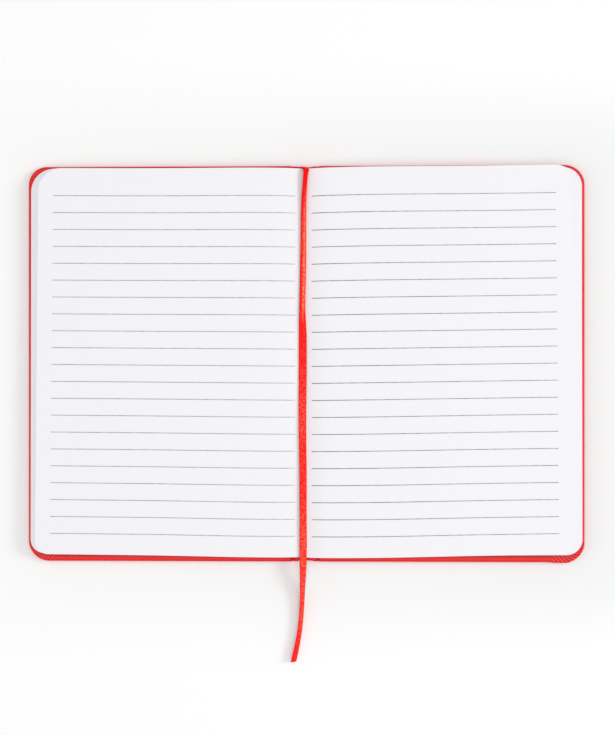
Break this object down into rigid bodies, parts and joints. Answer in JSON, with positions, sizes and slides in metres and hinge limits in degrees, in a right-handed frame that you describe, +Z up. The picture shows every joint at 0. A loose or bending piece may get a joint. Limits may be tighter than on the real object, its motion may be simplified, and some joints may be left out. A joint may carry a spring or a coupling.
{
  "type": "pocket notebook",
  "caption": "Leather-covered pocket notebook lying open: two hinged board covers, sewn page sections, turning leaves and a ribbon bookmark.",
  "frame": {"origin": "on the table, under the middle of the spine, with the notebook open and flat", "axes": "+X towards the back cover's fore edge, +Y towards the head of the pages, +Z up out of the open pages"},
  "size_m": [0.208, 0.1854, 0.0073],
  "materials": {
    "cover_leather": "smooth, fine grain, satin",
    "board": "matte grey board",
    "endpaper": "matte, uncoated",
    "gauze": "open weave, glued",
    "ruled_paper": "matte, uncoated, grey ruled lines",
    "thread": "waxed linen thread",
    "ribbon": "woven, satin sheen"
  },
  "bodies": {
    "spine": {"spine_skin": "cover_leather", "spine_liner": "board", "ribbon_anchor": "ribbon"},
    "front_cover": {"front_cover_skin": "cover_leather", "front_board": "board", "front_mull": "gauze", "front_pastedown": "endpaper", "front_flyleaf": "endpaper"},
    "back_cover": {"back_cover_skin": "cover_leather", "back_board": "board", "back_mull": "gauze", "back_pastedown": "endpaper", "back_flyleaf": "endpaper"},
    "section_01": {"section_01": "ruled_paper", "thread_01": "thread"},
    "section_02": {"section_02": "ruled_paper", "thread_02": "thread"},
    "section_03": {"section_03": "ruled_paper", "thread_03": "thread"},
    "section_04": {"section_04": "ruled_paper", "thread_04": "thread"},
    "section_05": {"section_05": "ruled_paper", "thread_05": "thread"},
    "section_06": {"section_06": "ruled_paper", "thread_06": "thread"},
    "section_07": {"section_07": "ruled_paper", "thread_07": "thread"},
    "section_08": {"section_08": "ruled_paper", "thread_08": "thread"},
    "section_09": {"section_09": "ruled_paper", "thread_09": "thread"},
    "section_10": {"section_10": "ruled_paper", "thread_10": "thread"},
    "section_11": {"section_11": "ruled_paper", "thread_11": "thread"},
    "section_12": {"section_12": "ruled_paper", "thread_12": "thread"},
    "left_leaf_2": {"left_leaf_2": "ruled_paper"},
    "left_leaf_1": {"left_leaf_1": "ruled_paper", "ribbon_bookmark": "ribbon"},
    "right_leaf_2": {"right_leaf_2": "ruled_paper"},
    "right_leaf_1": {"right_leaf_1": "ruled_paper"}
  },
  "joints": [
    {"name": "back_cover_hinge", "type": "hinge", "parent": "spine", "child": "back_cover", "pos_m": [0.0042, 0, 0.00285], "axis": [0, 1, 0], "range_deg": [-90, 0]},
    {"name": "front_cover_hinge", "type": "hinge", "parent": "spine", "child": "front_cover", "pos_m": [-0.0042, 0, 0.00285], "axis": [0, -1, 0], "range_deg": [-90, 0]},
    {"name": "section_01_shear", "type": "slide", "parent": "front_cover", "child": "section_01", "axis": [-1, 0, 0], "range_m": [0, 0.0003]},
    {"name": "section_02_shear", "type": "slide", "parent": "front_cover", "child": "section_02", "axis": [-1, 0, 0], "range_m": [0, 0.00087]},
    {"name": "section_03_shear", "type": "slide", "parent": "front_cover", "child": "section_03", "axis": [-1, 0, 0], "range_m": [0, 0.00144]},
    {"name": "section_04_shear", "type": "slide", "parent": "front_cover", "child": "section_04", "axis": [-1, 0, 0], "range_m": [0, 0.00201]},
    {"name": "section_05_shear", "type": "slide", "parent": "front_cover", "child": "section_05", "axis": [-1, 0, 0], "range_m": [0, 0.00258]},
    {"name": "section_06_shear", "type": "slide", "parent": "front_cover", "child": "section_06", "axis": [-1, 0, 0], "range_m": [0, 0.00315]},
    {"name": "section_07_shear", "type": "slide", "parent": "back_cover", "child": "section_07", "axis": [1, 0, 0], "range_m": [0, 0.00315]},
    {"name": "section_08_shear", "type": "slide", "parent": "back_cover", "child": "section_08", "axis": [1, 0, 0], "range_m": [0, 0.00258]},
    {"name": "section_09_shear", "type": "slide", "parent": "back_cover", "child": "section_09", "axis": [1, 0, 0], "range_m": [0, 0.00201]},
    {"name": "section_10_shear", "type": "slide", "parent": "back_cover", "child": "section_10", "axis": [1, 0, 0], "range_m": [0, 0.00144]},
    {"name": "section_11_shear", "type": "slide", "parent": "back_cover", "child": "section_11", "axis": [1, 0, 0], "range_m": [0, 0.00087]},
    {"name": "section_12_shear", "type": "slide", "parent": "back_cover", "child": "section_12", "axis": [1, 0, 0], "range_m": [0, 0.0003]},
    {"name": "left_leaf_2_turn", "type": "hinge", "parent": "section_06", "child": "left_leaf_2", "pos_m": [0, 0, 0.00705], "axis": [0, 1, 0], "range_deg": [0, 180]},
    {"name": "left_leaf_1_turn", "type": "hinge", "parent": "left_leaf_2", "child": "left_leaf_1", "pos_m": [0, 0, 0.00705], "axis": [0, 1, 0], "range_deg": [0, 180]},
    {"name": "right_leaf_2_turn", "type": "hinge", "parent": "section_07", "child": "right_leaf_2", "pos_m": [0, 0, 0.00705], "axis": [0, -1, 0], "range_deg": [0, 180]},
    {"name": "right_leaf_1_turn", "type": "hinge", "parent": "right_leaf_2", "child": "right_leaf_1", "pos_m": [0, 0, 0.00705], "axis": [0, -1, 0], "range_deg": [0, 180]}
  ],
  "couplings": [
    {"joint": "section_01_shear", "follows": "front_cover_hinge", "m_per_rad": -0.00019097},
    {"joint": "section_12_shear", "follows": "back_cover_hinge", "m_per_rad": -0.00019097},
    {"joint": "section_02_shear", "follows": "front_cover_hinge", "m_per_rad": -0.0005538},
    {"joint": "section_11_shear", "follows": "back_cover_hinge", "m_per_rad": -0.0005538},
    {"joint": "section_03_shear", "follows": "front_cover_hinge", "m_per_rad": -0.00091664},
    {"joint": "section_10_shear", "follows": "back_cover_hinge", "m_per_rad": -0.00091664},
    {"joint": "section_04_shear", "follows": "front_cover_hinge", "m_per_rad": -0.0012795},
    {"joint": "section_09_shear", "follows": "back_cover_hinge", "m_per_rad": -0.0012795},
    {"joint": "section_05_shear", "follows": "front_cover_hinge", "m_per_rad": -0.0016423},
    {"joint": "section_08_shear", "follows": "back_cover_hinge", "m_per_rad": -0.0016423},
    {"joint": "section_06_shear", "follows": "front_cover_hinge", "m_per_rad": -0.0020052},
    {"joint": "section_07_shear", "follows": "back_cover_hinge", "m_per_rad": -0.0020052}
  ]
}
